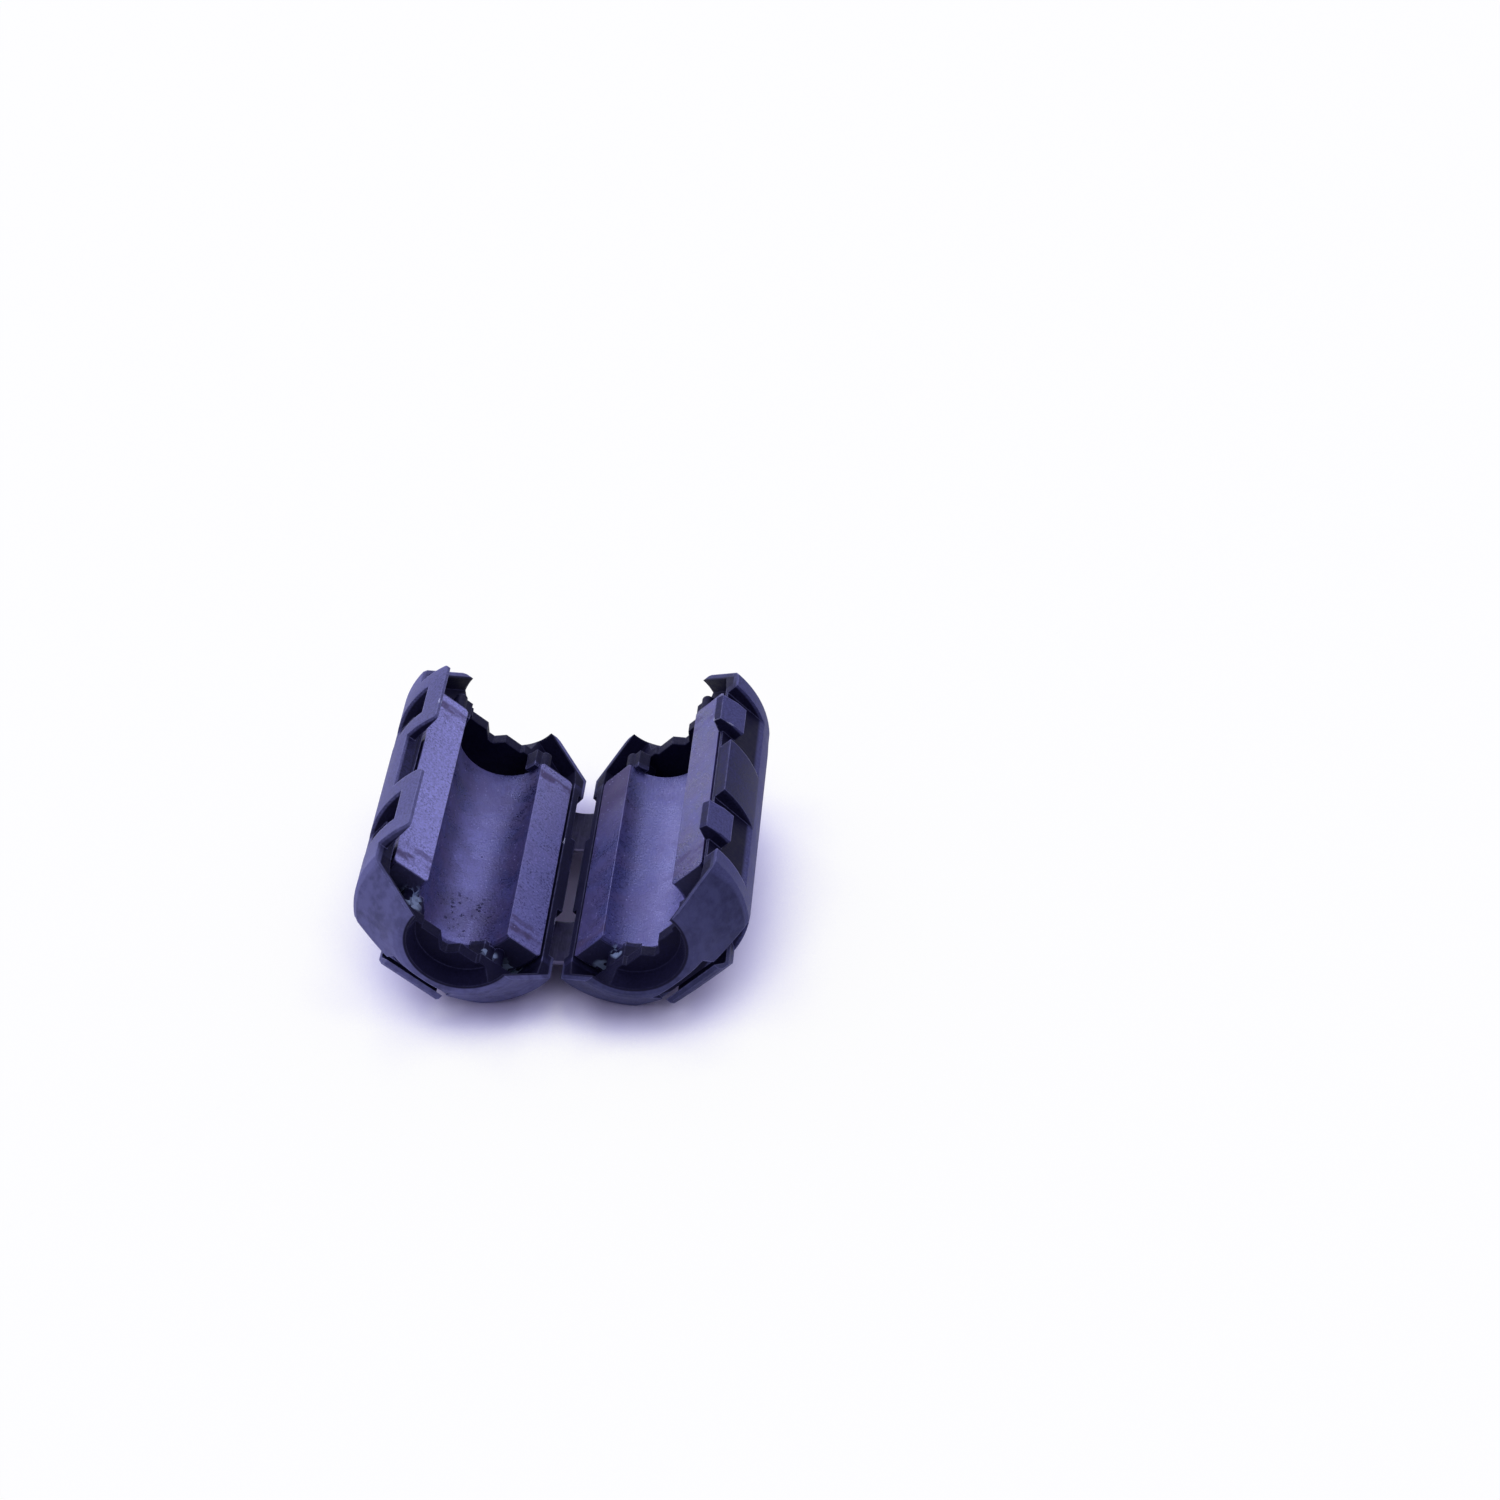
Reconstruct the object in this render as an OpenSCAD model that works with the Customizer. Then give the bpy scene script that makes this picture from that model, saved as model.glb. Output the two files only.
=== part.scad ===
// Clip-on ferrite bead. A hinged two-part case holds two half cores.
// Each half is drawn in its own frame: the cable runs along Y, the mating plane is Z = 0,
// the half's material lies below it, the hinge is towards +X and the latch towards -X.
// The finished part stands open on its two round backs, with its hinge line along Y.

/* [Ferrite core] */
// Length of the core
core_len = 25.5; // [20:0.5:40]
// Outer diameter of the two closed half cores
core_d = 16.2; // [15:0.1:18]
// Diameter of the cable passage through the core
bore_d = 8.9; // [7:0.1:9.6]
// Chamfer on the core's edges
core_chamfer = 0.3; // [0.1:0.05:0.6]
// How far each core's ground face stands back from the mating plane
core_setback = 0.02; // [0.01:0.01:0.1]

/* [Case] */
// Thickness of the case's wall round the core
wall_t = 1.6; // [1.5:0.05:2]
// Radial clearance round the core
core_gap = 0.3; // [0.1:0.05:0.5]
// How far the case reaches past the core at each end
end_len = 4.95; // [4.6:0.05:6]
// Length of each tapered end
taper_len = 3.6; // [3.4:0.1:4.4]
// Diameter of each end face
end_d = 11.4; // [10.6:0.1:13]
// Wall of the tapered ends, measured across the cable
taper_wall = 0.95; // [0.8:0.05:1.2]
// Rounding of the shoulder where the taper starts
shoulder_round = 0.6; // [0.4:0.1:1.4]
// How far the case's rim stands back from the mating plane
rim_setback = 0.05; // [0.02:0.01:0.15]
// Rounding of each end face's outer edge
edge_round = 0.4; // [0.2:0.1:0.8]
// Thickness of the toothed plate in each end
plate_t = 1.2; // [0.8:0.1:1.6]
// Depth of the flared mouth in each end face
mouth_len = 1.7; // [1.2:0.1:2]
// Diameter of the flared mouth at the end face
mouth_d = 9.5; // [9:0.1:10]
// Width of the two ribs that carry each half core
seat_w = 1.2; // [0.8:0.1:2]
// How far each of those ribs runs into the wall
seat_bite = 0.2; // [0.1:0.05:0.4]
// Height of the toothed plates' top below the mating plane
plate_top = 1.7; // [1:0.1:1.9]

/* [Cable teeth] */
// Depth of the teeth's flat tips below the mating plane
tooth_tip = 2; // [1.2:0.1:2.6]
// Distance from the middle to the near side of each tooth's tip
tooth_in = 1.1; // [0.8:0.1:1.4]
// Distance from the middle to the far side of each tooth's tip
tooth_out = 2.95; // [2.4:0.05:3.3]
// Depth of the notch between the two teeth
notch_deep = 0.9; // [0.4:0.1:1.5]
// Width of the notch's floor
notch_w = 0.6; // [0.2:0.1:1.2]
// Width of the toothed opening at the mating plane
throat_w = 8.4; // [7.6:0.1:9]

/* [Latch] */
// Distance of each tab's middle from the case's middle
tab_y = 7.9; // [7:0.1:8.4]
// Width of each tab
tab_w = 8.1; // [6.5:0.1:8.4]
// How far each tab stands above the mating plane
tab_rise = 3.5; // [3:0.1:3.8]
// Thickness of each tab at the mating plane
tab_t = 0.95; // [0.8:0.05:1.1]
// Rounding of each tab's top corners
tab_round = 0.4; // [0.1:0.1:1]
// Clearance behind each closed tab
tab_back_gap = 0.35; // [0.1:0.05:0.4]
// Clearance at each side of a closed tab
tab_side_gap = 0.15; // [0.05:0.05:0.3]
// Width of the window in each tab
window_w = 4.1; // [3.2:0.1:5]
// Top of the window above the mating plane
window_top = 1.6; // [1.4:0.1:1.8]
// Depth of the window below the mating plane
window_deep = 2.2; // [1.8:0.1:2.8]
// Gap between a hook and each side of its window
hook_gap = 0.25; // [0.1:0.05:0.4]
// Height of each hook above the mating plane
hook_rise = 1.35; // [1:0.05:1.4]
// Play between a hook's catch face and its window
catch_gap = 0.05; // [0.02:0.01:0.15]
// Height of each hook where it leaves the wall
hook_foot = 0.2; // [0.1:0.05:0.4]
// Distance from the recess to the top of each hook
hook_back = 0.2; // [0.1:0.05:0.4]
// Width of each hook's top
hook_top_w = 0.7; // [0.4:0.1:0.8]
// Fall of each hook's top towards its lip
hook_fall = 0.2; // [0.1:0.05:0.4]
// Height of each hook's lip above its catch face
hook_lip = 1.15; // [0.8:0.05:1.3]
// How far each hook's lip stands back from the case's surface
lip_back = 0.1; // [0.05:0.05:0.3]

/* [Hinge] */
// Angle that the two halves are opened to
open_angle = 94.8; // [60:0.1:120]
// How far the hinge line stands out from the closed case
hinge_proud = 0.2; // [0.1:0.05:0.5]
// Depth of the flat on the hinge side, from the case's surface
hinge_cut = 0.4; // [0.3:0.05:0.6]
// Distance of each hinge strap's middle from the case's middle
strap_y = 8.05; // [7:0.05:9]
// Width of each hinge strap
strap_w = 5.7; // [4:0.1:7]
// Thickness of each hinge strap
strap_t = 0.35; // [0.25:0.05:0.5]
// How far each strap sags between the two halves
strap_sag = 0.45; // [0.2:0.05:0.7]
// Depth of a strap's ends below the mating plane
strap_deep = 1.5; // [1.1:0.1:1.7]
// Depth of the wall that a strap runs into, from the case's surface
strap_cut = 0.95; // [0.8:0.05:1.1]
// Relief beside each strap, on the side away from the middle
strap_relief = 0.8; // [0.3:0.1:1.2]

/* [Crown bridges] */
// Length of the opening in the crown at each end of the case
opening_len = 6.35; // [5:0.05:7.5]
// Rounding of the opening's corners
opening_round = 1.2; // [0.5:0.1:2]
// Depth of the step where the flats beside each bridge run out
opening_step = 0.15; // [0.1:0.05:0.3]
// Depth of the flats beside each bridge, from the case's surface
crown_cut = 3.25; // [2.9:0.05:3.5]
// Width of the bridge over each opening
bridge_w = 6.1; // [4:0.1:7]
// Chamfer along each bridge's outer edges
bridge_chamfer = 0.9; // [0.3:0.1:1.4]
// Thickness of each bridge where it leaves the wall
bridge_t = 1.75; // [1.5:0.05:2]
// Length of the part of each bridge that bends down to the end
bend_len = 5.1; // [4.4:0.1:5.4]
// How far each bridge's free end stands back from the end face
bridge_back = 1.5; // [1:0.1:1.8]
// Drop of the free end's underside, from the case's surface
bridge_drop = 3; // [2.7:0.05:3.1]
// Thickness of the free end
bridge_end_t = 0.55; // [0.4:0.05:0.9]
// Play at each side of a bridge's free end
slit_side = 0.2; // [0.1:0.05:0.4]
// Depth of the flat on the end face's edge under the free end
slit_cut = 0.2; // [0.1:0.05:0.3]
// Rounding of the free end's outer edge
bridge_nose = 0.3; // [0.1:0.05:0.5]
// Depth of the long flat on each back
back_cut = 1; // [0.4:0.05:1.1]
// Length of the flat
back_flat_len = 18; // [10:0.5:20]
// Length of the slope at each end of the flat
back_ramp = 3.2; // [1:0.1:3.4]

/* [Core ears] */
// Thickness of each ear that holds the core
ear_t = 1.1; // [0.8:0.1:1.6]
// Play between the core and its ears
ear_play = 0.03; // [0.01:0.01:0.1]
// Gap between each ear and the groove's line
ear_in = 0.1; // [0.05:0.05:0.3]
// Distance of the far ears' tops below the mating plane
ear_top = 0.15; // [0.05:0.05:0.4]
// Height of the far ears
ear_h = 3; // [2.4:0.1:4]
// Distance of the near ears' tops below the mating plane
near_ear_top = 1.6; // [1:0.1:1.8]
// Height of the near ears
near_ear_h = 1.7; // [1.4:0.1:2.4]
// How far each ear's nose reaches along the groove
nose_len = 0.3; // [0.1:0.05:0.8]
// How far each nose stands into the groove
nose_t = 0.5; // [0.3:0.05:0.8]
// Distance from each ear's top to the top of its nose
nose_drop = 0.35; // [0.2:0.05:0.6]
// Height of each nose
nose_h = 1.1; // [0.6:0.1:1.3]

/* [Hidden] */
$fn = 96;
eps = 0.01;
over = 1;
core_r = core_d / 2;
case_r = core_r + core_gap + wall_t;
case_d = 2 * case_r;
bore_r = bore_d / 2;
end_r = end_d / 2;
cavity_r = core_r + core_gap;
core_half = core_len / 2;
case_half = core_half + end_len;
shoulder_y = case_half - taper_len;
taper_slope = (case_r - end_r) / taper_len;
plate_out = case_half - mouth_len;
plate_in = plate_out - plate_t;
chamber_r = end_r + (case_half - plate_in) * taper_slope - taper_wall;
throat_half = throat_w / 2;
crown_flat = case_r - crown_cut;
bridge_under = case_r - bridge_t;
bridge_end_under = case_r - bridge_drop;
slit_flat = end_r - slit_cut;
back_flat = case_r - back_cut;
hinge_flat = case_r - hinge_cut;
hinge_out = case_r + hinge_proud;
strap_root = case_r - strap_cut;
tilt = (180 - open_angle) / 2;
far = 2 * case_half;

black = [0.09, 0.09, 0.10];
ferrite_grey = [0.27, 0.27, 0.29];

// Turns a shape drawn about Z so that it lies about Y
module about_y() {
    rotate([90, 0, 0]) children();
}

// Puts a shape and its mirror image on both ends
module both_ends() {
    children();
    mirror([0, 1, 0]) children();
}

// Puts a shape and its mirror image on the latch side and the hinge side
module both_sides() {
    children();
    mirror([1, 0, 0]) children();
}

// Extrudes an outline drawn in X and Z, from y0 to y1
module slab(y0, y1) {
    translate([0, y1, 0]) rotate([90, 0, 0]) linear_extrude(height = y1 - y0) children();
}

// Everything below a height in the half's own frame
module below(z) {
    translate([-far, -far, z - far]) cube([2 * far, 2 * far, far]);
}

// Everything above a height in the half's own frame
module above(z) {
    translate([-far, -far, z]) cube([2 * far, 2 * far, far]);
}

// ---- Case, in a half's own frame ----

module case_outline() {
    about_y() rotate_extrude() polygon([
        [0, -case_half],
        [end_r - edge_round / 2, -case_half],
        [end_r + edge_round * taper_slope / 2, -case_half + edge_round / 2],
        [case_r - shoulder_round * taper_slope / 2, -shoulder_y - shoulder_round / 2],
        [case_r, -shoulder_y + shoulder_round / 2],
        [case_r, shoulder_y - shoulder_round / 2],
        [case_r - shoulder_round * taper_slope / 2, shoulder_y + shoulder_round / 2],
        [end_r + edge_round * taper_slope / 2, case_half - edge_round / 2],
        [end_r - edge_round / 2, case_half],
        [0, case_half]
    ]);
}

// Room for the core, narrowing towards the toothed plates
module cavity() {
    about_y() rotate_extrude() polygon([
        [0, -plate_in],
        [chamber_r, -plate_in],
        [cavity_r, -core_half - core_gap],
        [cavity_r, core_half + core_gap],
        [chamber_r, plate_in],
        [0, plate_in]
    ]);
}

// Cable hole through one end, with two teeth that bite the cable
module toothed_hole() {
    slab(plate_in - eps, plate_out + eps) polygon([
        [-throat_half, eps],
        [-tooth_out, -tooth_tip],
        [-tooth_in, -tooth_tip],
        [-notch_w / 2, -tooth_tip - notch_deep],
        [notch_w / 2, -tooth_tip - notch_deep],
        [tooth_in, -tooth_tip],
        [tooth_out, -tooth_tip],
        [throat_half, eps]
    ]);
    translate([0, plate_out, 0]) rotate([-90, 0, 0])
        cylinder(h = mouth_len + eps, r1 = throat_half + eps, r2 = mouth_d / 2);
}

// Room above the toothed plates, inside the tapered walls
module cheeks() {
    intersection() {
        about_y() rotate_extrude() polygon([
            [0, -case_half - eps],
            [end_r - taper_wall, -case_half - eps],
            [chamber_r, -plate_in],
            [chamber_r, plate_in],
            [end_r - taper_wall, case_half + eps],
            [0, case_half + eps]
        ]);
        above(-plate_top);
    }
}

// Outline of one end's crown opening, seen from outside
module opening_plan() {
    half_w = sqrt(case_r * case_r - crown_flat * crown_flat) - opening_step;
    y0 = case_half - opening_len;
    translate([-half_w, y0 + opening_round]) square([2 * half_w, opening_len]);
    translate([-half_w + opening_round, y0]) square([2 * (half_w - opening_round), opening_len]);
    for (side = [-1, 1])
        translate([side * (half_w - opening_round), y0 + opening_round]) circle(r = opening_round);
}

module crown_opening() {
    translate([0, 0, -far - crown_flat]) linear_extrude(height = far) opening_plan();
    translate([-bridge_w / 2 - slit_side, plate_out, -far - slit_flat])
        cube([bridge_w + 2 * slit_side, far, far]);
}

// Tongue that bridges one crown opening, level with the case and bent down at its free end
module bridge() {
    root_y = case_half - opening_len - over;
    bend_y = case_half - bend_len;
    tip_y = case_half - bridge_back;
    tip_r = bridge_end_under + bridge_end_t;
    nose_r = tip_r + 1.5 * bridge_nose;
    half_w = bridge_w / 2;
    edge_z = sqrt(case_r * case_r - half_w * half_w) - bridge_chamfer;
    intersection() {
        about_y() cylinder(h = far, r = case_r, center = true);
        slab(root_y, tip_y) polygon([
            [-half_w, 0],
            [-half_w, -edge_z],
            [-half_w + bridge_chamfer, -case_r],
            [half_w - bridge_chamfer, -case_r],
            [half_w, -edge_z],
            [half_w, 0]
        ]);
        translate([-half_w, 0, 0]) rotate([90, 0, 90]) linear_extrude(height = bridge_w) polygon([
            [root_y - over, -case_r],
            [root_y - over, -bridge_under],
            [plate_in, -bridge_under],
            [tip_y, -bridge_end_under],
            [tip_y, -tip_r],
            [tip_y - bridge_nose, -nose_r],
            [bend_y, -case_r]
        ]);
    }
}

// Room above the long flat on the back and its two slopes
module back_relief() {
    y1 = back_flat_len / 2;
    translate([-case_r, 0, 0]) rotate([90, 0, 90]) linear_extrude(height = case_d) polygon([
        [-y1 - back_ramp, -case_r],
        [-y1, -back_flat],
        [y1, -back_flat],
        [y1 + back_ramp, -case_r],
        [y1 + back_ramp, -far],
        [-y1 - back_ramp, -far]
    ]);
}

// Ear that stands beside the groove at one corner, with a nose that keeps the core in place
module ear(top, height) {
    x0 = bore_r + ear_in;
    nose_z = -top - nose_drop - nose_h;
    slab(core_half + ear_play, plate_in + eps) {
        translate([x0, -top - height]) square([ear_t, height - ear_t / 2]);
        translate([x0 + ear_t / 2, -top - ear_t / 2]) circle(d = ear_t);
    }
    slab(core_half - nose_len, plate_in + eps) intersection() {
        difference() {
            circle(r = bore_r - ear_play);
            circle(r = bore_r - nose_t);
        }
        translate([0, nose_z]) square([bore_r, nose_h]);
    }
    slab(core_half + ear_play, plate_in + eps)
        translate([bore_r - nose_t, nose_z]) square([nose_t + ear_t / 2, nose_h]);
}

// Rib that carries the half core
module core_seat() {
    intersection() {
        about_y() difference() {
            cylinder(h = seat_w, r = cavity_r + seat_bite, center = true);
            cylinder(h = seat_w + over, r = core_r, center = true);
        }
        below(-core_r / 2);
    }
}

// The case of either half without its latch
module half_case() {
    difference() {
        union() {
            difference() {
                case_outline();
                above(-rim_setback);
                cavity();
                both_ends() toothed_hole();
                cheeks();
                both_ends() crown_opening();
                // flat on the hinge side
                translate([hinge_flat, -far, -far]) cube([far, 2 * far, 2 * far]);
                // walls that the hinge straps run into, with a relief beside each
                both_ends() translate([strap_root, strap_y - strap_w / 2, -far])
                    cube([far, strap_w + strap_relief, 2 * far]);
            }
            both_ends() bridge();
        }
        back_relief();
    }
    both_sides() ear(ear_top, ear_h);
    both_sides() mirror([0, 1, 0]) ear(near_ear_top, near_ear_h);
    both_ends() translate([0, tab_y, 0]) core_seat();
}

// ---- Latch ----

tab_inner = case_r - tab_t;
recess_x = tab_inner - tab_back_gap;

// Latch tab of the window half, without its window
module tab() {
    intersection() {
        about_y() cylinder(h = far, r = case_r, center = true);
        translate([-case_r, 0, 0]) rotate([90, 0, 90]) linear_extrude(height = tab_t) {
            translate([tab_y - tab_w / 2, -over]) square([tab_w, tab_rise - tab_round + over]);
            translate([tab_y - tab_w / 2 + tab_round, 0]) square([tab_w - 2 * tab_round, tab_rise]);
            for (side = [-1, 1])
                translate([tab_y + side * (tab_w / 2 - tab_round), tab_rise - tab_round])
                    circle(r = tab_round);
        }
    }
}

module window() {
    translate([-case_r - over, tab_y - window_w / 2, -window_deep])
        cube([case_r + over - core_r + core_gap, window_w, window_deep + window_top]);
    // flat in the wall below the window
    translate([-case_r - over, tab_y - window_w / 2, -case_r])
        cube([case_r + over - recess_x, window_w, case_r - window_deep + eps]);
}

// Recess in the hook half that takes a closed tab
module tab_recess() {
    w = tab_w + 2 * tab_side_gap;
    translate([-case_r - over, tab_y - w / 2, -case_r])
        cube([case_r + over - recess_x, w, case_r + over]);
}

module hook() {
    w = window_w - 2 * hook_gap;
    catch_z = -window_top + catch_gap;
    slab(tab_y - w / 2, tab_y + w / 2) polygon([
        [-cavity_r, catch_z],
        [-cavity_r, hook_foot],
        [-recess_x - hook_back, hook_rise],
        [-recess_x - hook_back - hook_top_w, hook_rise - hook_fall],
        [-case_r + lip_back, catch_z + hook_lip],
        [-case_r + lip_back, catch_z]
    ]);
}

// ---- The two halves in place ----

// Places a left-hand half, opened about the hinge line
module left_half() {
    translate([-hinge_out * cos(tilt), 0, case_r]) rotate([0, tilt, 0]) children();
}

module right_half() {
    mirror([1, 0, 0]) left_half() children();
}

module window_shell() {
    color(black) left_half() difference() {
        union() {
            half_case();
            both_ends() tab();
        }
        both_ends() window();
    }
}

module hook_shell() {
    color(black) right_half() {
        difference() {
            half_case();
            both_ends() tab_recess();
        }
        both_ends() hook();
    }
}

module half_core() {
    difference() {
        about_y() rotate_extrude() polygon([
            [bore_r + core_chamfer, -core_half],
            [core_r - core_chamfer, -core_half],
            [core_r, -core_half + core_chamfer],
            [core_r, core_half - core_chamfer],
            [core_r - core_chamfer, core_half],
            [bore_r + core_chamfer, core_half],
            [bore_r, core_half - core_chamfer],
            [bore_r, -core_half + core_chamfer]
        ]);
        above(-core_setback);
    }
}

module core_left() {
    color(ferrite_grey) left_half() half_core();
}

module core_right() {
    color(ferrite_grey) right_half() half_core();
}

// Film of the same moulding that joins the two halves, sagging between their walls
module hinge_strap(y) {
    top_x = (hinge_out - strap_root) * cos(tilt);
    top_z = case_r - strap_root * sin(tilt);
    root_x = top_x + strap_deep * sin(tilt);
    root_z = top_z - strap_deep * cos(tilt);
    arc_r = (root_x * root_x + strap_sag * strap_sag) / (2 * strap_sag);
    low_z = root_z - strap_sag - strap_t - over;
    low_x = root_x + (root_z - low_z) * tan(tilt);
    color(black) slab(y - strap_w / 2, y + strap_w / 2) intersection() {
        translate([0, root_z + arc_r - strap_sag]) difference() {
            circle(r = arc_r + strap_t);
            circle(r = arc_r);
        }
        polygon([
            [-top_x, top_z],
            [-low_x, low_z],
            [low_x, low_z],
            [top_x, top_z]
        ]);
    }
}

module hinge_strap_near() {
    hinge_strap(-strap_y);
}

module hinge_strap_far() {
    hinge_strap(strap_y);
}

window_shell();
hook_shell();
core_left();
core_right();
hinge_strap_near();
hinge_strap_far();
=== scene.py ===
import math

import bmesh
import bpy
from mathutils import Matrix, Vector


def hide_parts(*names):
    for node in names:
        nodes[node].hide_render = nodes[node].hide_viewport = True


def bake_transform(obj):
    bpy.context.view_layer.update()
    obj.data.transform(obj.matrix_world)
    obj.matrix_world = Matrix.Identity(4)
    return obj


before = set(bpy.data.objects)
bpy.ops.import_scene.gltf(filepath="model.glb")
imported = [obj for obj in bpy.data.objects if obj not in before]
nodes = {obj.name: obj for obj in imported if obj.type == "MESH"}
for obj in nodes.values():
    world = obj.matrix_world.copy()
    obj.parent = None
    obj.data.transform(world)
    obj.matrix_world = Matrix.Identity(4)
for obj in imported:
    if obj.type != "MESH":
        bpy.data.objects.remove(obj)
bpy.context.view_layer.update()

# Sizes are in millimetres unless they are multiplied by MM, which makes them metres.
MM = 0.001
PER_MM = 1000.0
OPEN_ANGLE = 94.8
TILT = math.radians((180 - OPEN_ANGLE) / 2)
C, S = math.cos(TILT), math.sin(TILT)
CASE_R = 10.0
HINGE_OUT = 10.2
MID_X = HINGE_OUT * C
LEFT, RIGHT = -1, 1

# Places in a half's own frame: x is 0 at the bore and grows towards the hinge, z is 0 on the mating plane.
RECESS_X = -8.7          # plane of the latch recess and of the flats under the windows
RIDGE_HALF = (3.6, 4.0)  # the plain ridge between the two latches ends within this |y|
CONE_FALL, CONE_START = -1.194, 26.08   # inner side of the taper: radius = CONE_FALL * |y| + CONE_START
SKIN_R = 9.25            # anything further out than this is the outer skin
FACE_X = (3.9, 4.6)      # the ground faces of a core start within this |x|
FACE_Z = (-0.25, -0.05)  # and lie above this z

# Dabs of clear adhesive, painted pale as painted glints, and places of painted glints on edges and specks, as
# (x, y, z, radius) in each half's own frame.
GLUE = {
    LEFT: [(7.75, -12.4, -3.2, 0.9), (6.6, -12.8, -2.75, 1.0),
           (4.0, -14.0, -1.95, 1.0), (-4.7, -13.6, -2.0, 1.5)],
    RIGHT: [(7.0, -12.8, -2.4, 1.0), (4.3, -13.2, -1.95, 0.9), (6.3, -13.4, -3.4, 1.0)],
}
PAINTED_GLINTS = {
    LEFT: [(-9.4, 6.25, 3.4, 0.45), (-9.5, 5.7, 3.05, 0.45),
           (8.4, 4.2, -0.1, 0.5), (9.0, -7.0, -0.1, 0.6)],
    RIGHT: [(-8.8, 6.1, 1.6, 0.6), (-9.1, 6.1, 0.8, 0.6), (-9.45, 6.1, 0.0, 0.6)],
}
PITTED = (-8.9, -8.5, 5.8)   # middle of the pitted patch in the left groove, in the rest frame

# Colours are linear RGB.
GLUE_GLINT_COLOUR = (0.30, 0.38, 0.52)
# In NYLON, inner is painted shade for the pockets, the inside walls and the shut-off faces.
NYLON = {
    "deep": (0.0110, 0.0105, 0.0320), "pale": (0.0210, 0.0200, 0.0580),
    "inner": (0.0036, 0.0026, 0.0120), "wear_and_highlight": (0.22, 0.22, 0.42), "painted_glint": (0.80, 0.82, 1.0),
}
# What differs between the halves: the left one is dustier and faces the light, so its dust, scuff, front and
# edge colours are painted lighter as painted light, and the right one's darker as painted shade.
NYLON_SIDE = {
    LEFT: {"edge_wear_and_highlight": 0.90, "dust_and_painted_light": (0.150, 0.148, 0.295), "scuff_and_light": (0.155, 0.155, 0.300),
           "painted_front_light": (0.200, 0.200, 0.380), "scuff_from": 9.5},
    RIGHT: {"edge_wear_and_highlight": 0.60, "dust_and_painted_light": (0.085, 0.085, 0.205), "scuff_and_light": (0.072, 0.075, 0.155),
            "painted_front_light": (0.120, 0.120, 0.240), "scuff_from": 12.0},
}
# In FERRITE, spark is painted glints on bright crystals.
FERRITE = {
    "deep": (0.028, 0.031, 0.100), "pale": (0.064, 0.061, 0.175), "mauve": (0.064, 0.044, 0.108),
    "slate": (0.030, 0.026, 0.068), "stain": (0.052, 0.030, 0.062), "painted_groove_highlight": (0.150, 0.145, 0.330),
    "patch": (0.034, 0.024, 0.050), "dust_and_painted_light": (0.265, 0.258, 0.505), "brown": (0.044, 0.022, 0.038),
    "spark": (0.36, 0.36, 0.62), "pit": (0.004, 0.003, 0.008), "wear_and_highlight": (0.19, 0.18, 0.36),
    "end": (0.006, 0.006, 0.014),
}
FILM = {
    "deep": (0.007, 0.005, 0.022), "pale": (0.017, 0.012, 0.048),
    "stress": (0.040, 0.036, 0.070), "lip": (0.32, 0.29, 0.44),
}
COOL = (0.84, 0.85, 1.14)    # colour of all the light


# ---------------------------------------------------------------- camera
cam = bpy.data.cameras.new("camera")
cam.lens = 75.18
cam.sensor_width = 36.0
cam.sensor_fit = "HORIZONTAL"
cam.clip_start = 0.01
cam.clip_end = 20.0
cam_obj = bpy.data.objects.new("camera", cam)
bpy.context.scene.collection.objects.link(cam_obj)
CAMERA_TURN = Matrix((
    (0.996707, -0.010116, 0.080457),
    (0.070353, 0.601274, -0.795940),
    (-0.040325, 0.798979, 0.600005),
))
CAMERA_PLACE = (0.0395064, -0.2230069, 0.1864125)
cam_obj.matrix_world = Matrix.Translation(CAMERA_PLACE) @ CAMERA_TURN.to_4x4()
bpy.context.scene.camera = cam_obj


# ---------------------------------------------------------------- node helpers
def half_axes(side):
    """The x and z axes of a half's own frame, in the rest frame."""
    return (-side * C, 0.0, -S), (-side * S, 0.0, C)


def rgba(colour):
    return (*colour, 1.0)


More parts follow.
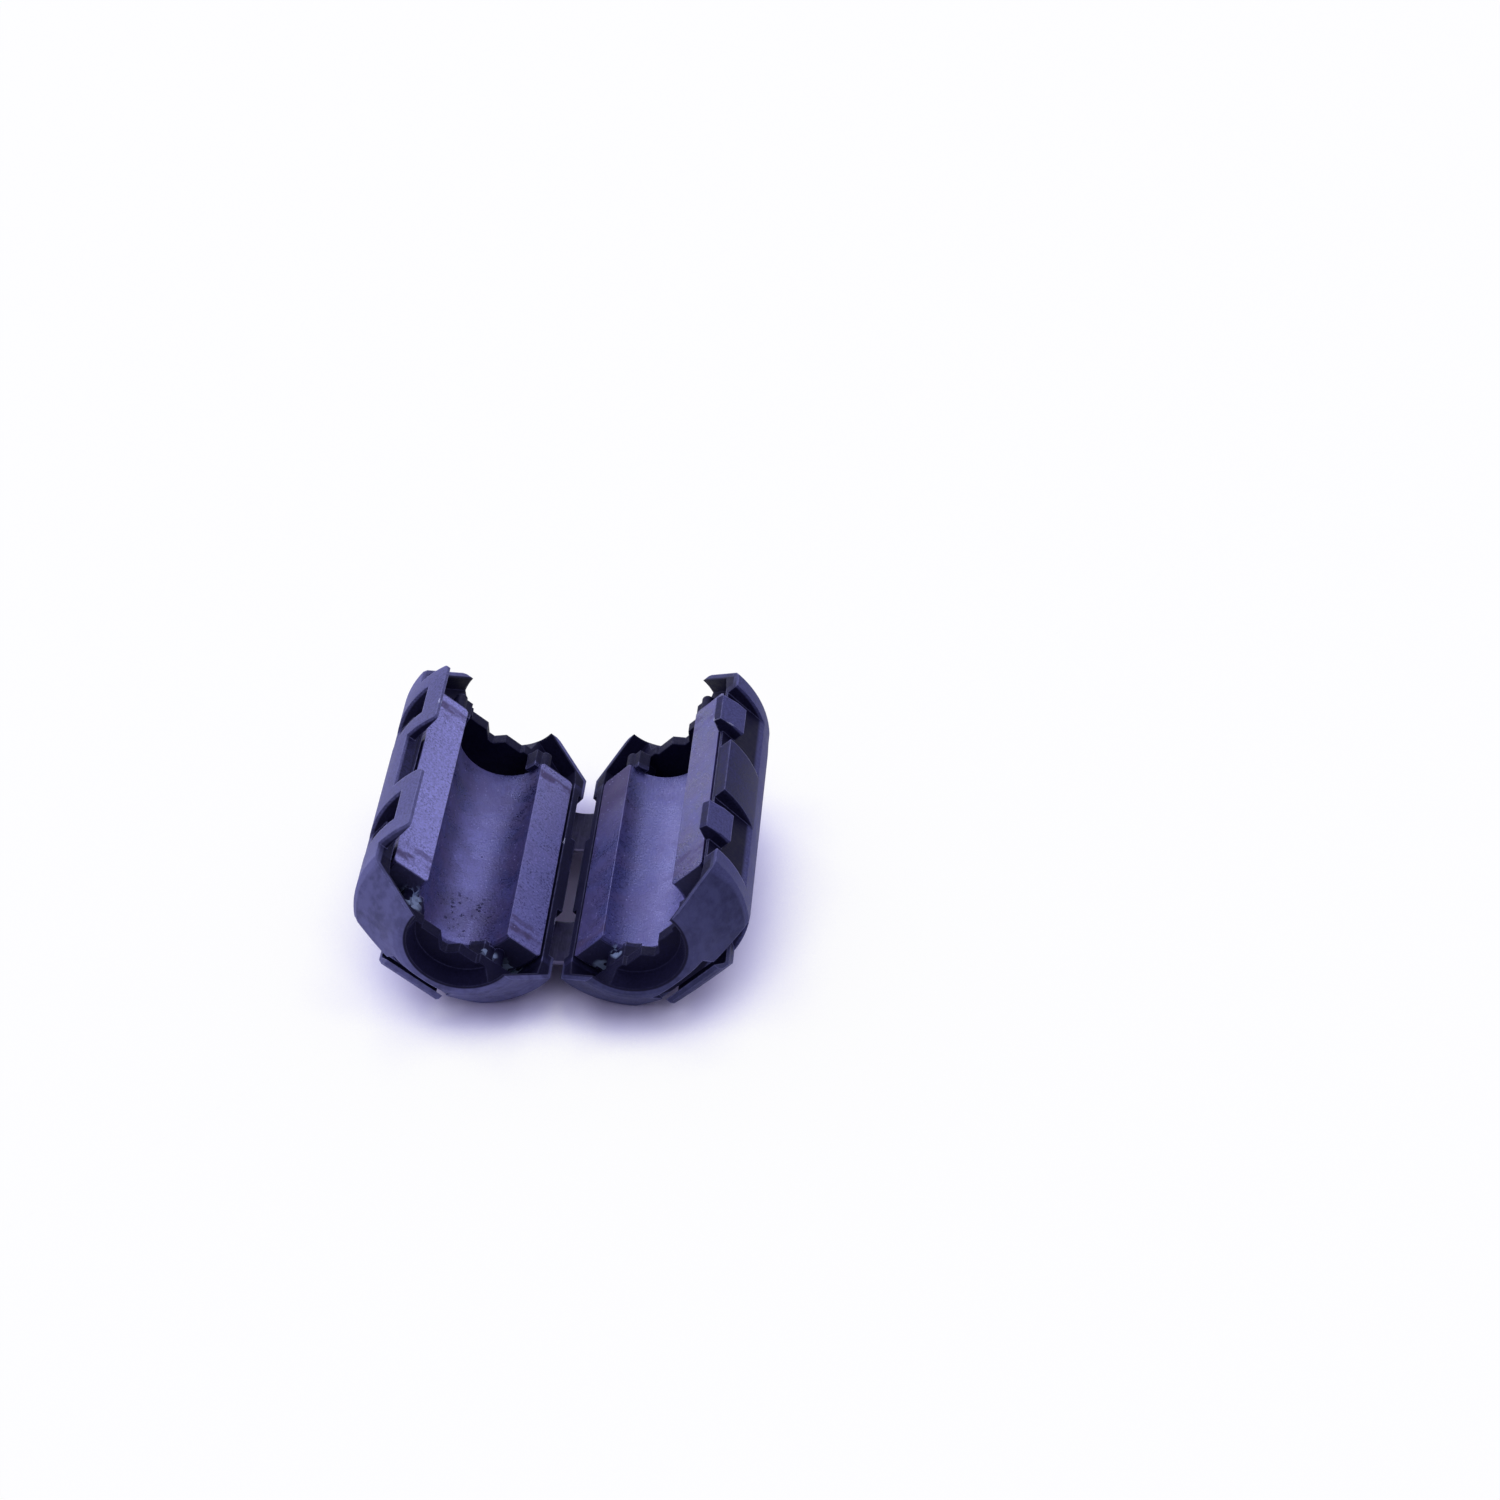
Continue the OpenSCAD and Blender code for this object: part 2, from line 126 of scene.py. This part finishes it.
class Net:
    """Small helper that builds the node tree of a material or of the world."""

    def __init__(self, owner, output="ShaderNodeOutputMaterial"):
        self.owner = owner
        owner.use_nodes = True
        self.nt = owner.node_tree
        self.nt.nodes.clear()
        self.out = self.new(output)

    def new(self, kind, **props):
        n = self.nt.nodes.new(kind)
        for k, v in props.items():
            setattr(n, k, v)
        return n

    def put(self, value, socket):
        """Links a socket, or sets a constant."""
        if isinstance(value, bpy.types.NodeSocket):
            self.nt.links.new(value, socket)
        else:
            socket.default_value = value

    def math(self, op, a, b=None, c=None, clamp=False):
        n = self.new("ShaderNodeMath", operation=op, use_clamp=clamp)
        for v, s in zip((a, b, c), n.inputs):
            if v is not None:
                self.put(v, s)
        return n.outputs[0]

    def chain(self, op, first, rest):
        for value in rest:
            first = self.math(op, first, value)
        return first

    def mul(self, first, *rest):
        return self.chain("MULTIPLY", first, rest)

    def add(self, first, *rest):
        return self.chain("ADD", first, rest)

    def most(self, first, *rest):
        return self.chain("MAXIMUM", first, rest)

    def sub(self, a, b):
        return self.math("SUBTRACT", a, b)

    def inverse(self, a):
        return self.math("SUBTRACT", 1.0, a)

    def absolute(self, a):
        return self.math("ABSOLUTE", a)

    def vec(self, op, a, b=None, scale=None):
        n = self.new("ShaderNodeVectorMath", operation=op)
        self.put(a, n.inputs[0])
        if b is not None:
            self.put(b, n.inputs[1])
        if scale is not None:
            self.put(scale, n.inputs["Scale"])
        return n.outputs["Value"] if op in ("DOT_PRODUCT", "LENGTH") else n.outputs[0]

    def noise(self, vector, size, detail=3.0, rough=0.55, distortion=0.0):
        """Noise whose blobs are about size millimetres across."""
        n = self.new("ShaderNodeTexNoise")
        self.put(vector, n.inputs["Vector"])
        n.inputs["Scale"].default_value = 1.0 / (size * MM)
        n.inputs["Detail"].default_value = detail
        n.inputs["Roughness"].default_value = rough
        n.inputs["Distortion"].default_value = distortion
        return n.outputs[0]

    def streaks(self, a, b):
        """Noise over two coordinates that are stretched unequally, so that it draws out into lines."""
        comb = self.new("ShaderNodeCombineXYZ")
        self.put(a, comb.inputs[0])
        self.put(b, comb.inputs[1])
        n = self.new("ShaderNodeTexNoise")
        self.put(comb.outputs[0], n.inputs["Vector"])
        n.inputs["Scale"].default_value = 1.0
        n.inputs["Detail"].default_value = 2.0
        return n.outputs[0]

    def voronoi(self, vector, size):
        """Cells about size millimetres across."""
        n = self.new("ShaderNodeTexVoronoi")
        self.put(vector, n.inputs["Vector"])
        n.inputs["Scale"].default_value = 1.0 / (size * MM)
        return n

    def spots(self, vector, size, core, rim):
        """1 near the middle of each cell, 0 beyond rim."""
        return self.span(self.voronoi(vector, size).outputs["Distance"], core, rim, 1.0, 0.0)

    def span(self, value, a, b, c=0.0, d=1.0, smooth=True):
        """Maps a..b to c..d, clamped."""
        kind = "SMOOTHSTEP" if smooth else "LINEAR"
        n = self.new("ShaderNodeMapRange", interpolation_type=kind)
        self.put(value, n.inputs[0])
        for v, s in zip((a, b, c, d), n.inputs[1:5]):
            self.put(v, s)
        return n.outputs[0]

    def near(self, value, at, inner, outer, peak=1.0):
        """peak within inner of at, 0 beyond outer."""
        return self.span(self.absolute(self.sub(value, at)), inner, outer, peak, 0.0)

    def ramp(self, value, stops):
        """Colour ramp from (position, colour) pairs."""
        n = self.new("ShaderNodeValToRGB")
        self.put(value, n.inputs[0])
        elements = n.color_ramp.elements
        for position, _ in stops[1:-1]:
            elements.new(position)
        for element, (position, colour) in zip(elements, stops):
            element.position = position
            element.color = rgba(colour)
        return n.outputs[0]

    def mix(self, fac, a, b, blend="MIX"):
        n = self.new("ShaderNodeMix", data_type="RGBA", blend_type=blend)
        self.put(fac, n.inputs[0])
        for v, s in ((a, n.inputs[6]), (b, n.inputs[7])):
            self.put(rgba(v) if isinstance(v, tuple) else v, s)
        return n.outputs[2]

    def bump(self, height, dist, strength, normal):
        n = self.new("ShaderNodeBump")
        n.inputs["Strength"].default_value = strength
        n.inputs["Distance"].default_value = dist
        self.put(height, n.inputs["Height"])
        self.put(normal, n.inputs["Normal"])
        return n.outputs[0]

    def round_edges(self, radius):
        n = self.new("ShaderNodeBevel", samples=6)
        n.inputs["Radius"].default_value = radius * MM
        return n.outputs[0]

    def place(self):
        return self.new("ShaderNodeTexCoord").outputs["Object"]

    def half_frame(self, side):
        """x, y and z in a half's own frame, in millimetres."""
        p = self.vec("SCALE", self.place(), scale=PER_MM)
        x_axis, z_axis = half_axes(side)
        x = self.add(self.vec("DOT_PRODUCT", p, x_axis), MID_X * C + CASE_R * S)
        z = self.add(self.vec("DOT_PRODUCT", p, z_axis), MID_X * S - CASE_R * C)
        y = self.vec("DOT_PRODUCT", p, (0.0, 1.0, 0.0))
        return x, y, z

    def half_normal(self, side):
        """The object's own normal in a half's frame. It is the shape's, so it is the same from any view."""
        normal = self.new("ShaderNodeTexCoord").outputs["Normal"]
        x_axis, z_axis = half_axes(side)
        return [self.vec("DOT_PRODUCT", normal, axis) for axis in (x_axis, (0.0, 1.0, 0.0), z_axis)]

    def dots(self, x, y, z, points):
        """1 inside any of the balls (x, y, z, radius), in millimetres of the half's own frame, 0 outside."""
        comb = self.new("ShaderNodeCombineXYZ")
        for v, s in zip((x, y, z), comb.inputs):
            self.put(v, s)
        balls = []
        for px, py, pz, radius in points:
            d = self.vec("LENGTH", self.vec("SUBTRACT", comb.outputs[0], (px, py, pz)))
            balls.append(self.span(d, radius * 0.55, radius, 1.0, 0.0))
        return self.most(*balls)

    def surface(self, color, rough, normal, ior, tint, specular=0.5, **extra):
        n = self.new("ShaderNodeBsdfPrincipled")
        self.put(color, n.inputs["Base Color"])
        self.put(rough, n.inputs["Roughness"])
        self.put(normal, n.inputs["Normal"])
        n.inputs["IOR"].default_value = ior
        n.inputs["Specular IOR Level"].default_value = specular
        n.inputs["Specular Tint"].default_value = rgba(tint)
        for k, v in extra.items():
            n.inputs[k].default_value = v
        self.nt.links.new(n.outputs[0], self.out.inputs[0])
        return self.owner


def material(name):
    return Net(bpy.data.materials.new(name))


# ---------------------------------------------------------------- materials
def edge_mask(m, edge_normal, breakup):
    """0 on flat faces, up to 1 where the bevel node rounds an edge, broken up by a noise."""
    geo = m.new("ShaderNodeNewGeometry")
    away = m.inverse(m.vec("DOT_PRODUCT", edge_normal, geo.outputs["Normal"]))
    return m.span(m.mul(away, m.span(breakup, 0.35, 0.6, 0.5, 1.5)), 0.006, 0.15)


def dab_mask(m, x, y, z, side):
    """Dabs of clear adhesive, as flakes of uneven brightness painted pale as painted glints."""
    flakes = m.voronoi(m.place(), 0.55)
    tone = m.vec("DOT_PRODUCT", flakes.outputs["Color"], (1.0, 0.0, 0.0))
    return m.mul(m.dots(x, y, z, GLUE[side]), m.span(tone, 0.35, 0.85))


def nylon(name, side):
    """Black moulded nylon with a fine spark-eroded grain, smoother where the tool's shut-offs slid."""
    m = material(name)
    own = NYLON_SIDE[side]
    p = m.place()
    x, y, z = m.half_frame(side)
    nx, ny, nz = m.half_normal(side)
    along = m.absolute(y)
    r = m.math("SQRT", m.add(m.mul(x, x), m.mul(z, z)))
    grain = m.noise(p, 0.22, 4.0, 0.7)
    orange = m.noise(p, 0.8, 2.0, 0.5)
    cloud = m.noise(p, 3.5, 4.0, 0.6)
    edge_n = m.round_edges(0.2)
    # edges: partly wear, mostly a painted highlight where the bevel rounds them
    wear_and_highlight = m.mul(edge_mask(m, edge_n, orange), own["edge_wear_and_highlight"])

    # shut-off faces: the recess plane and the flats under the windows
    slick = m.mul(m.near(x, RECESS_X, 0.03, 0.06), m.span(along, 12.4, 12.2), m.span(z, -5.2, -5.0))
    stria = m.streaks(m.mul(y, 6.0), m.mul(z, 0.3))
    # the outer skin, by its distance from the bore or because it faces outwards
    inner_r = m.math("MINIMUM", m.math("MULTIPLY_ADD", along, CONE_FALL, CONE_START), SKIN_R)
    radial = m.math("DIVIDE", m.add(m.mul(nx, x), m.mul(nz, z)), r)
    skin = m.most(m.span(m.sub(r, inner_r), 0.0, 0.15),
                  m.mul(m.span(radial, 0.15, 0.4), m.span(r, 7.0, 7.3)))
    # the smooth pocket inside each end, behind the teeth
    pocket = m.mul(m.span(along, 12.85, 13.1), m.inverse(skin))
    # the hinge-side wall inside, and the sides of the latch openings
    hinge_wall = m.mul(m.span(x, 8.0, 8.4), m.span(along, 12.6, 12.2))
    jamb = m.mul(m.span(m.absolute(ny), 0.6, 0.9), m.span(x, -8.6, -8.4, 1.0, 0.0),
                 m.span(along, 12.6, 12.3))
    walls = m.most(hinge_wall, jamb)
    wear_and_highlight = m.mul(wear_and_highlight, m.inverse(m.mul(pocket, 0.85)), m.inverse(m.mul(walls, 0.6)))

    base = m.mix(m.span(cloud, 0.35, 0.65), NYLON["deep"], NYLON["pale"])
    base = m.mix(1.0, base, m.span(grain, 0.34, 0.66, 0.35, 1.80, smooth=False), "MULTIPLY")
    # painted shade: the pockets, the inside walls, the sides of the latch openings and the shut-off faces are
    # darkened
    inner = m.most(m.mul(pocket, 0.8), m.mul(walls, 0.65), m.mul(slick, 0.85))
    base = m.mix(inner, base, NYLON["inner"])

    # dust and painted light on the outward-facing tabs or hooks and on the round back, thinning out towards
    # the hinge; the left half's colour is lighter as painted light, for it faces the light
    tab = m.mul(m.span(x, -9.5, -9.2, 1.0, 0.0), m.span(nx, -0.7, -0.4, 1.0, 0.0))
    body = m.span(r, 9.6, 9.8)
    if side == RIGHT:
        off_ridge = m.span(along, *RIDGE_HALF)
        tab = m.mul(tab, off_ridge)
        body = m.mul(body, m.most(off_ridge, m.span(z, -5.2, -4.7, 1.0, 0.15)))
    dusty_and_lit = m.mul(m.most(tab, body), m.span(grain, 0.34, 0.66, 0.5, 1.0), m.span(x, -6.0, 2.0, 0.9, 0.2))
    base = m.mix(dusty_and_lit, base, own["dust_and_painted_light"])

    # scuffed taper, partly painted light, for the left half's scuff colour is lighter, and painted light on
    # the near end's front faces
    patchy = m.add(m.mul(cloud, 0.6), m.mul(orange, 0.4))
    scuff_and_light = m.mul(m.span(along, own["scuff_from"], 14.0), skin, m.span(patchy, 0.36, 0.62, 0.5, 1.0), 0.8)
    base = m.mix(scuff_and_light, base, own["scuff_and_light"])
    painted_front_light = m.mul(m.span(y, -17.2, -15.6, 1.0, 0.0), skin, m.span(x, -3.0, 3.0, 1.0, 0.0), 0.2)
    base = m.mix(painted_front_light, base, own["painted_front_light"])
    # painted highlight, partly wear, on the rounded edges
    base = m.mix(wear_and_highlight, base, NYLON["wear_and_highlight"])

    # dabs of clear adhesive by the ribs that hold the ferrite, painted pale as painted glints, and a few
    # painted glints on edges and specks
    glue_and_glint = dab_mask(m, x, y, z, side)
    base = m.mix(m.mul(glue_and_glint, 0.85), base, GLUE_GLINT_COLOUR)
    speck = m.math("MULTIPLY", wear_and_highlight, 2.6, clamp=True)
    if side == LEFT:
        speck = m.most(m.spots(p, 0.45, 0.16, 0.30), speck)
    painted_glint = m.mul(m.dots(x, y, z, PAINTED_GLINTS[side]), speck)
    base = m.mix(m.mul(painted_glint, 0.9), base, NYLON["painted_glint"])

    rough = m.add(m.span(grain, 0.3, 0.7, 0.48, 0.74, smooth=False), m.span(cloud, 0.35, 0.65, -0.03, 0.06))
    rough = m.sub(rough, m.mul(m.most(wear_and_highlight, glue_and_glint, painted_glint), 0.32))
    texture = m.add(m.mul(grain, 0.8), m.mul(orange, 0.5))
    texture = m.mul(texture, m.inverse(m.mul(slick, 0.8)))
    height = m.add(texture, m.mul(stria, slick, 0.8))
    return m.surface(base, rough, m.bump(height, 0.045 * MM, 0.9, edge_n),
                     ior=1.50, specular=0.15, tint=(0.42, 0.43, 1.0),
                     **{"Sheen Weight": 0.04, "Sheen Roughness": 0.4, "Sheen Tint": (0.35, 0.35, 1.0, 1.0)})


def ferrite(name, side):
    """Sintered ferrite: fine grain, pits, a painted highlight streak along the groove, brown bands near the
    ends of the ground faces.
    """
    m = material(name)
    left = side == LEFT
    p = m.place()
    x, y, z = m.half_frame(side)
    along, across = m.absolute(y), m.absolute(x)
    fine = m.noise(p, 0.22, 3.0, 0.7)
    mid = m.noise(p, 1.1, 4.0, 0.62)
    cloud = m.noise(p, 4.0, 4.0, 0.6, 0.5)
    edge_n = m.round_edges(0.12)
    wear_and_highlight = edge_mask(m, edge_n, mid)
    groove = m.span(z, -0.9, -0.4, 1.0, 0.0)

    # slate with a mauve cast, and brown stains in the groove
    base = m.mix(m.span(cloud, 0.36, 0.64), FERRITE["deep"], FERRITE["pale"])
    mauve = m.span(m.noise(p, 5.0, 3.0, 0.6, 0.6), 0.42, 0.58)
    base = m.mix(m.mul(mauve, 0.55), base, FERRITE["mauve"])
    base = m.mix(m.span(mid, 0.45, 0.66, 0.0, 0.45), base, FERRITE["slate"])
    stain = m.mul(m.span(m.noise(p, 2.6, 3.0, 0.6, 0.8), 0.50, 0.62), groove, 0.34 if left else 0.12)
    base = m.mix(stain, base, FERRITE["stain"])

    # painted highlight: a pale streak along the groove, broken by the pitted patch
    patch = m.vec("LENGTH", m.vec("SUBTRACT", m.vec("SCALE", p, scale=PER_MM), PITTED))
    patch = m.mul(m.span(patch, 1.8, 4.0, 1.0, 0.0), groove)
    painted_groove_highlight = m.near(x, 1.2 if left else -0.5, 0.5, 2.6)
    fade = m.span(y, 2.0, 9.0, 1.0, 0.1) if left else m.span(y, -8.0, 0.0, 1.0, 0.0)
    patchy = m.math("MULTIPLY_ADD", mid, 0.4, m.mul(cloud, 0.6))
    painted_groove_highlight = m.mul(painted_groove_highlight, fade, groove, m.span(patchy, 0.36, 0.62, 0.15, 0.75), m.inverse(m.mul(patch, 0.8)))
    base = m.mix(painted_groove_highlight, base, FERRITE["painted_groove_highlight"])
    base = m.mix(m.mul(patch, m.span(mid, 0.42, 0.56, 0.2, 0.8)), base, FERRITE["patch"])
    if left:
        # dust and painted light on the left core's ground faces, lighter towards the latch side
        dust_and_painted_light = m.mul(m.span(across, *FACE_X), m.span(z, *FACE_Z), m.span(x, -2.0, 2.0, 0.90, 0.42))
        base = m.mix(dust_and_painted_light, base, FERRITE["dust_and_painted_light"])

    # grinding left two stripes across each face near its ends: (|y|, half width, depth)
    wavy = m.add(along, m.mul(m.sub(mid, 0.5), 0.9))
    stripes = [m.near(wavy, at, half * 0.4, half, depth)
               for at, half, depth in ((11.3, 0.75, 1.0), (9.9, 0.55, 0.75))]
    brown = m.mul(m.most(*stripes), m.span(z, -0.3, -0.1),
                  m.span(m.noise(p, 2.2, 3.0, 0.6), 0.40, 0.60, 0.1, 1.0))
    if not left:
        # darker towards the far end of the right core's hinge-side ground face, mixed towards the brown
        # colour
        darker_far_end = m.mul(m.span(y, 4.5, 9.5), m.span(x, *FACE_X), m.span(z, *FACE_Z))
        brown = m.most(brown, darker_far_end)
    base = m.mix(m.mul(brown, 0.8), base, FERRITE["brown"])

    # grain, painted glints on bright crystals, pits
    base = m.mix(1.0, base, m.span(fine, 0.36, 0.66, 0.62, 1.55, smooth=False), "MULTIPLY")
    spark = m.mul(m.spots(p, 0.55, 0.09, 0.17), m.span(cloud, 0.40, 0.6, 0.3, 1.0))
    base = m.mix(m.mul(spark, 0.7), base, FERRITE["spark"])
    few = m.mul(m.spots(p, 2.2, 0.03, 0.05), m.span(mid, 0.42, 0.55))
    many = m.mul(m.spots(p, 0.55, 0.20, 0.36), m.span(m.noise(p, 0.9, 2.0, 0.6), 0.42, 0.49))
    pits = m.most(m.mul(many, patch), few)
    base = m.mix(m.mul(pits, 0.85), base, FERRITE["pit"])
    # painted highlight, partly wear, on the rounded edges
    base = m.mix(m.mul(wear_and_highlight, 0.6), base, FERRITE["wear_and_highlight"])

    # painted shade on the end faces, then the adhesive, painted pale as painted glints, on top
    end_face_shade = m.span(along, 12.62, 12.7)
    base = m.mix(m.mul(end_face_shade, m.sub(0.85, wear_and_highlight)), base, FERRITE["end"])
    base = m.mix(m.mul(dab_mask(m, x, y, z, side), 0.85), base, GLUE_GLINT_COLOUR)

    rough = m.add(m.span(fine, 0.32, 0.68, 0.20, 0.50, smooth=False), m.mul(stain, 0.22),
                  m.span(cloud, 0.36, 0.64, -0.05, 0.10), m.mul(pits, 0.45),
                  m.mul(m.most(end_face_shade, brown), 0.34))
    height = m.sub(m.add(fine, m.mul(mid, 0.45)), pits)
    return m.surface(base, rough, m.bump(height, 0.038 * MM, 0.9, edge_n), ior=1.95, tint=(0.42, 0.42, 1.0))


def film():
    """The hinge's thin film: flexed, so it is smooth, with stress lines across it and a painted highlight
    along its near edge.
    """
    m = material("nylon_film")
    p = m.place()
    split = m.new("ShaderNodeSeparateXYZ")
    m.put(m.vec("SCALE", p, scale=PER_MM), split.inputs[0])
    x, y = split.outputs[0], split.outputs[1]
    grain = m.noise(p, 0.25, 3.0, 0.6)
    cloud = m.noise(p, 1.6, 3.0, 0.6)
    lines = m.streaks(m.mul(x, 5.0), m.mul(y, 0.25))
    edge_n = m.round_edges(0.12)
    # painted highlight along the near edge of each film
    lip = m.most(*[m.near(y, edge, 0.06, 0.26) for edge in (-10.9, 5.2)])
    lip = m.mul(lip, m.span(m.absolute(x), 0.9, 1.7, 1.0, 0.0), m.span(cloud, 0.35, 0.55, 0.35, 1.0))
    base = m.mix(m.span(cloud, 0.35, 0.65), FILM["deep"], FILM["pale"])
    base = m.mix(m.span(lines, 0.50, 0.68, 0.0, 0.5), base, FILM["stress"])
    base = m.mix(m.mul(lip, 0.9), base, FILM["lip"])
    rough = m.sub(m.span(grain, 0.3, 0.7, 0.34, 0.52, smooth=False), m.mul(lip, 0.22))
    height = m.add(m.mul(grain, 0.5), lines)
    return m.surface(base, rough, m.bump(height, 0.02 * MM, 0.8, edge_n),
                     ior=1.50, specular=0.12, tint=(0.42, 0.40, 1.0))


mats = {
    "window_shell": nylon("nylon_left", LEFT),
    "hook_shell": nylon("nylon_right", RIGHT),
    "core_left": ferrite("ferrite_left", LEFT),
    "core_right": ferrite("ferrite_right", RIGHT),
}
for name, mat in mats.items():
    o = nodes[name]
    o.data.materials.clear()
    o.data.materials.append(mat)


def new_object(name, mesh):
    o = bpy.data.objects.new(name, mesh)
    bpy.context.scene.collection.objects.link(o)
    return o


# ---------------------------------------------------------------- hinge straps
STRAP_WIDTH = 5.7
STRAP_THICK = 0.35
STRAP_SAG = 0.45     # how far the middle hangs below the ends
STRAP_DEEP = 1.5     # depth of the ends below the mating planes
STRAP_ROOT = 9.05    # distance of the walls that hold the ends from the bore
STRAP_BURY = 0.15    # how far the ends run into those walls
LIP_WIDTH, LIP_HEIGHT = 0.18, 0.07
ARC_STEPS, WIDTH_STEPS = 36, 30


def strip_ring(radius, middle_z, angle, y_mid):
    """One closed cross-section of the film: its inner side, then its outer side back again."""
    points = []
    for outer in (False, True):
        for j in range(WIDTH_STEPS + 1):
            t = -math.cos(math.pi * j / WIDTH_STEPS) * (-1 if outer else 1)
            near_edge = max(0.0, 1 - (1 - abs(t)) * STRAP_WIDTH / 2 / LIP_WIDTH)
            lip = LIP_HEIGHT * near_edge ** 2
            rr = radius + STRAP_THICK - lip if outer else radius + lip
            points.append((rr * math.sin(angle) * MM,
                           (y_mid + t * STRAP_WIDTH / 2) * MM,
                           (middle_z - rr * math.cos(angle)) * MM))
    return points


def arc_strip(name, node, y_mid, mat):
    """Curved film of moulded nylon between the two halves."""
    half_chord = (HINGE_OUT - STRAP_ROOT) * C + STRAP_DEEP * S
    end_z = CASE_R - STRAP_ROOT * S - STRAP_DEEP * C
    radius = (half_chord ** 2 + STRAP_SAG ** 2) / (2 * STRAP_SAG)
    middle_z = end_z + radius - STRAP_SAG
    reach = math.asin(half_chord / radius) + STRAP_BURY / radius
    bm = bmesh.new()
    rings = []
    for i in range(ARC_STEPS + 1):
        angle = -reach + 2 * reach * i / ARC_STEPS
        rings.append([bm.verts.new(v) for v in strip_ring(radius, middle_z, angle, y_mid)])
    count = len(rings[0])
    for a, b in zip(rings, rings[1:]):
        for j in range(count):
            k = (j + 1) % count
            bm.faces.new((a[j], a[k], b[k], b[j]))
    bm.faces.new(rings[0])
    bm.faces.new(list(reversed(rings[-1])))
    bmesh.ops.recalc_face_normals(bm, faces=bm.faces)
    me = bpy.data.meshes.new(name)
    bm.to_mesh(me)
    bm.free()
    for f in me.polygons:
        f.use_smooth = True
    o = new_object(name, me)
    o.data.materials.append(mat)
    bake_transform(o)
    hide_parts(node)


strap_mat = film()
arc_strip("strap_film_near", "hinge_strap_near", -8.05, strap_mat)
arc_strip("strap_film_far", "hinge_strap_far", 8.05, strap_mat)


# ---------------------------------------------------------------- floor, light, world
def staged(name, verts, faces, mat):
    me = bpy.data.meshes.new(name)
    me.from_pydata(verts, [], faces)
    me.materials.append(mat)
    o = new_object(name, me)
    return o


def floor_paper():
    """White paper. Where the sky is open the camera sees it as white; near the object the real shadow shows,
    with painted shade on top: where occlusion is high the paper's own colour is darker violet, and the
    camera-seen glow turns violet at the shadow's edge. The mask is occlusion, so it follows the object."""
    m = material("floor")
    occlusion = m.new("ShaderNodeAmbientOcclusion", samples=8)
    occlusion.inputs["Distance"].default_value = 30 * MM
    open_sky = occlusion.outputs["AO"]
    paper = m.new("ShaderNodeBsdfDiffuse")
    glow = m.new("ShaderNodeEmission")
    # painted shade: the camera-seen glow is violet where the paper is partly occluded
    m.put(m.mix(m.span(open_sky, 0.35, 0.80), (0.55, 0.52, 1.0), (1.0, 1.0, 1.0)), glow.inputs["Color"])
    # painted shade: the paper's colour is darker violet where it is occluded
    m.put(m.mix(m.span(open_sky, 0.05, 0.60), (0.66, 0.58, 0.82), (0.90, 0.885, 0.94)), paper.inputs["Color"])
    rays = m.new("ShaderNodeLightPath")
    seen = m.most(rays.outputs["Is Camera Ray"], rays.outputs["Is Glossy Ray"],
                  rays.outputs["Is Transmission Ray"])
    shader = m.new("ShaderNodeMixShader")
    m.put(m.mul(seen, m.span(open_sky, 0.30, 0.74, 0.0, 0.95)), shader.inputs[0])
    m.put(paper.outputs[0], shader.inputs[1])
    m.put(glow.outputs[0], shader.inputs[2])
    m.put(shader.outputs[0], m.out.inputs[0])
    return m.owner


def matt(name, colour):
    m = material(name)
    shader = m.new("ShaderNodeBsdfDiffuse")
    m.put(rgba(colour), shader.inputs["Color"])
    m.put(shader.outputs[0], m.out.inputs[0])
    return m.owner


def band(name, radius, height, sides=12, foot=0.002):
    """Low dark band round the set, where the white paper would end. The camera does not see it."""
    ring = [(radius * math.cos(math.tau * i / sides), radius * math.sin(math.tau * i / sides))
            for i in range(sides)]
    verts = [(x, y, z) for x, y in ring for z in (foot, height)]
    faces = [(2 * i, 2 * i + 1, (2 * i + 3) % (2 * sides), (2 * i + 2) % (2 * sides)) for i in range(sides)]
    staged(name, verts, faces, matt(name, (0.03, 0.03, 0.035))).visible_camera = False


def softbox(name, size, place, radiance):
    """Rectangular light that faces the object."""
    light = bpy.data.lights.new(name, "AREA")
    light.shape = "RECTANGLE"
    light.size, light.size_y = size
    light.energy = radiance * math.pi * size[0] * size[1]
    light.color = COOL
    o = new_object(name, light)
    o.location = place
    aim = Vector((0, 0, 0.01)) - Vector(place)
    o.rotation_euler = aim.to_track_quat("-Z", "Y").to_euler()


def light_tent():
    """Even from side to side, dim at the horizon and straight overhead, brightest at middle heights, and
    brighter from behind the object than from in front.
    """
    world = bpy.data.worlds.new("world")
    bpy.context.scene.world = world
    m = Net(world, "ShaderNodeOutputWorld")
    split = m.new("ShaderNodeSeparateXYZ")
    m.put(m.new("ShaderNodeTexCoord").outputs["Generated"], split.inputs[0])
    by_height = [(at, tuple(grey * c for c in COOL))
                 for at, grey in ((0.0, 0.10), (0.40, 0.52), (0.78, 0.66), (0.96, 0.16))]
    lit = m.new("ShaderNodeBackground")
    m.put(m.ramp(split.outputs[2], by_height), lit.inputs[0])
    m.put(m.span(split.outputs[1], -0.9, 0.2, 0.75, 2.15, smooth=False), lit.inputs[1])
    m.put(lit.outputs[0], m.out.inputs[0])


FLOOR_HALF = 3.0
w = FLOOR_HALF
staged("floor", [(-w, -w, 0), (w, -w, 0), (w, w, 0), (-w, w, 0)], [(0, 1, 2, 3)], floor_paper())
band("dark_band", 1.0, 0.05)
softbox("softbox_back", (2.0, 0.8), (-0.45, 1.25, 0.55), 2.0)
softbox("softbox_left", (1.0, 0.6), (-1.15, -0.25, 0.42), 1.3)
light_tent()

bpy.context.scene.view_settings.view_transform = "Standard"
